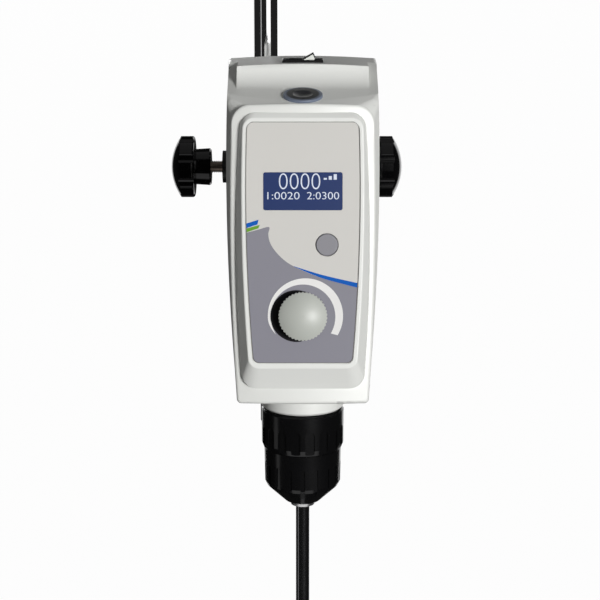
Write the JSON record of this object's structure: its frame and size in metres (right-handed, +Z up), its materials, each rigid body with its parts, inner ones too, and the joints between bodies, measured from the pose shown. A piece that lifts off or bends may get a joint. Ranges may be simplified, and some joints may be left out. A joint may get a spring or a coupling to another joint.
{
  "type": "overhead stirrer",
  "caption": "Laboratory overhead stirrer head with a keyless chuck and stirring shaft, held by its arm and boss head on an upright rod.",
  "frame": {"origin": "spindle axis at the underside of the housing", "axes": "+Z up along the spindle axis, -Y towards the control panel, +X to the right of someone facing the panel"},
  "size_m": [0.1548, 0.2847, 0.447],
  "materials": {
    "housing": "satin",
    "label": "printed sheet, fine matt grain",
    "lcd_blue": "gloss",
    "key_grey": "satin",
    "knob_grey": "satin",
    "black_plastic": "satin",
    "gloss_black": "gloss",
    "boss_black": "fine textured coat",
    "cap_dark": "gloss",
    "rocker_clear": "translucent",
    "chrome": "polished",
    "steel": "brushed",
    "dark_steel": "ground",
    "aluminium": "cast",
    "board_green": "satin",
    "brass": "satin",
    "glass_clear": "clear"
  },
  "bodies": {
    "support": {"support_rod": "chrome"},
    "boss": {"boss_head": "boss_black"},
    "rod_screw": {"rod_clamp_stud": "steel"},
    "rod_knob": {"rod_clamp_knob": "gloss_black"},
    "arm_screw": {"arm_clamp_stud": "steel"},
    "arm_knob": {"arm_clamp_knob": "gloss_black"},
    "arm": {"extension_arm": "chrome"},
    "head": {"front_cover": "housing", "panel_label": "label", "lcd_window": "lcd_blue", "lcd_module": "lcd_blue", "display_board": "board_green", "display_posts": "housing", "key_switch": "black_plastic", "encoder": "steel", "rear_shell": "housing", "rear_plate": "housing", "rear_screws": "steel", "screw_bosses": "housing", "switch_body": "black_plastic", "neck_collar": "housing", "base_plate": "aluminium", "frame_posts": "steel", "motor_plate": "aluminium", "top_bracket": "aluminium", "lower_bearing": "steel", "upper_bearing": "steel", "motor": "steel", "motor_screws": "steel", "main_board": "board_green", "board_posts": "brass", "board_parts": "black_plastic", "power_inlet": "black_plastic", "arm_socket": "aluminium"},
    "spindle": {"spindle": "steel", "lower_bearing_ring": "steel", "upper_bearing_ring": "steel", "spindle_gear": "brass", "chuck_body": "dark_steel", "chuck_upper_sleeve": "black_plastic"},
    "motor_rotor": {"motor_shaft": "steel", "motor_pinion": "steel"},
    "chuck_sleeve": {"chuck_lower_sleeve": "black_plastic", "chuck_nut": "steel", "nose_ring": "steel"},
    "jaw_1": {"chuck_jaw_1": "steel"},
    "jaw_2": {"chuck_jaw_2": "steel"},
    "jaw_3": {"chuck_jaw_3": "steel"},
    "stirrer": {"stirring_shaft": "steel"},
    "dial_shaft": {"encoder_shaft": "steel"},
    "dial": {"knob_skirt": "black_plastic", "knob_cap": "knob_grey"},
    "key": {"mode_key": "key_grey"},
    "switch_rocker": {"rocker": "rocker_clear"},
    "cap": {"spindle_cap": "cap_dark"},
    "fuse_holder": {"fuse_drawer": "black_plastic", "fuses": "glass_clear"}
  },
  "joints": [
    {"name": "boss_height", "type": "slide", "parent": "support", "child": "boss", "axis": [0, 0, 1], "range_m": [-0.12, 0.12]},
    {"name": "rod_knob_turn", "type": "hinge", "parent": "rod_screw", "child": "rod_knob", "pos_m": [-0.024, 0.178, 0.1035], "axis": [-1, 0, 0], "range_deg": [0, 720]},
    {"name": "rod_screw_travel", "type": "slide", "parent": "boss", "child": "rod_screw", "axis": [-1, 0, 0], "range_m": [0, 0.0025]},
    {"name": "arm_knob_turn", "type": "hinge", "parent": "arm_screw", "child": "arm_knob", "pos_m": [0, 0.178, 0.1035], "axis": [1, 0, 0], "range_deg": [0, 720]},
    {"name": "arm_screw_travel", "type": "slide", "parent": "boss", "child": "arm_screw", "axis": [1, 0, 0], "range_m": [0, 0.0025]},
    {"name": "arm_reach", "type": "slide", "parent": "boss", "child": "arm", "axis": [0, 1, 0], "range_m": [-0.03, 0.03]},
    {"name": "head_tilt", "type": "hinge", "parent": "arm", "child": "head", "pos_m": [0, 0.09, 0.1035], "axis": [0, 1, 0], "range_deg": [-90, 90]},
    {"name": "spindle_turn", "type": "hinge", "parent": "head", "child": "spindle", "pos_m": [0, 0, 0], "axis": [0, 0, 1], "continuous": true},
    {"name": "motor_turn", "type": "hinge", "parent": "head", "child": "motor_rotor", "pos_m": [0, 0.03375, 0.017], "axis": [0, 0, 1], "continuous": true},
    {"name": "chuck_turn", "type": "hinge", "parent": "spindle", "child": "chuck_sleeve", "pos_m": [0, 0, -0.05], "axis": [0, 0, 1], "range_deg": [0, 720]},
    {"name": "stirrer_reach", "type": "slide", "parent": "spindle", "child": "stirrer", "axis": [0, 0, 1], "range_m": [-0.12, 0.006]},
    {"name": "dial_push", "type": "slide", "parent": "head", "child": "dial_shaft", "axis": [0, 0.9857, -0.1685], "range_m": [0, 0.0005], "stiffness_N_per_m": 2000, "springref_m": -0.0004},
    {"name": "dial_turn", "type": "hinge", "parent": "dial_shaft", "child": "dial", "pos_m": [0, -0.04227, 0.05118], "axis": [0, -0.9857, 0.1685], "continuous": true},
    {"name": "key_push", "type": "slide", "parent": "head", "child": "key", "axis": [0, 0.9857, -0.1685], "range_m": [0, 0.0005], "stiffness_N_per_m": 1500, "springref_m": -0.0004},
    {"name": "rocker_tip", "type": "hinge", "parent": "head", "child": "switch_rocker", "pos_m": [0, 0.045, 0.1836], "axis": [0, 1, 0], "range_deg": [0, 28]},
    {"name": "cap_lift", "type": "slide", "parent": "head", "child": "cap", "axis": [0, -0.2588, 0.9659], "range_m": [0, 0.015]},
    {"name": "fuse_pull", "type": "slide", "parent": "head", "child": "fuse_holder", "axis": [0, 1, 0], "range_m": [0, 0.018]},
    {"name": "jaw_1_slide", "type": "slide", "parent": "spindle", "child": "jaw_1", "axis": [0, 0.2079, 0.9781], "range_m": [0, 0.005]},
    {"name": "jaw_2_slide", "type": "slide", "parent": "spindle", "child": "jaw_2", "axis": [-0.1801, -0.104, 0.9781], "range_m": [0, 0.005]},
    {"name": "jaw_3_slide", "type": "slide", "parent": "spindle", "child": "jaw_3", "axis": [0.1801, -0.104, 0.9781], "range_m": [0, 0.005]}
  ],
  "couplings": [
    {"joint": "motor_turn", "follows": "spindle_turn", "ratio": -2.8571},
    {"joint": "rod_knob_turn", "follows": "rod_screw_travel", "rad_per_m": 5026.5},
    {"joint": "arm_knob_turn", "follows": "arm_screw_travel", "rad_per_m": 5026.5},
    {"joint": "chuck_turn", "follows": "jaw_1_slide", "rad_per_m": 2513.2},
    {"joint": "jaw_2_slide", "follows": "jaw_1_slide", "ratio": 1},
    {"joint": "jaw_3_slide", "follows": "jaw_1_slide", "ratio": 1}
  ]
}
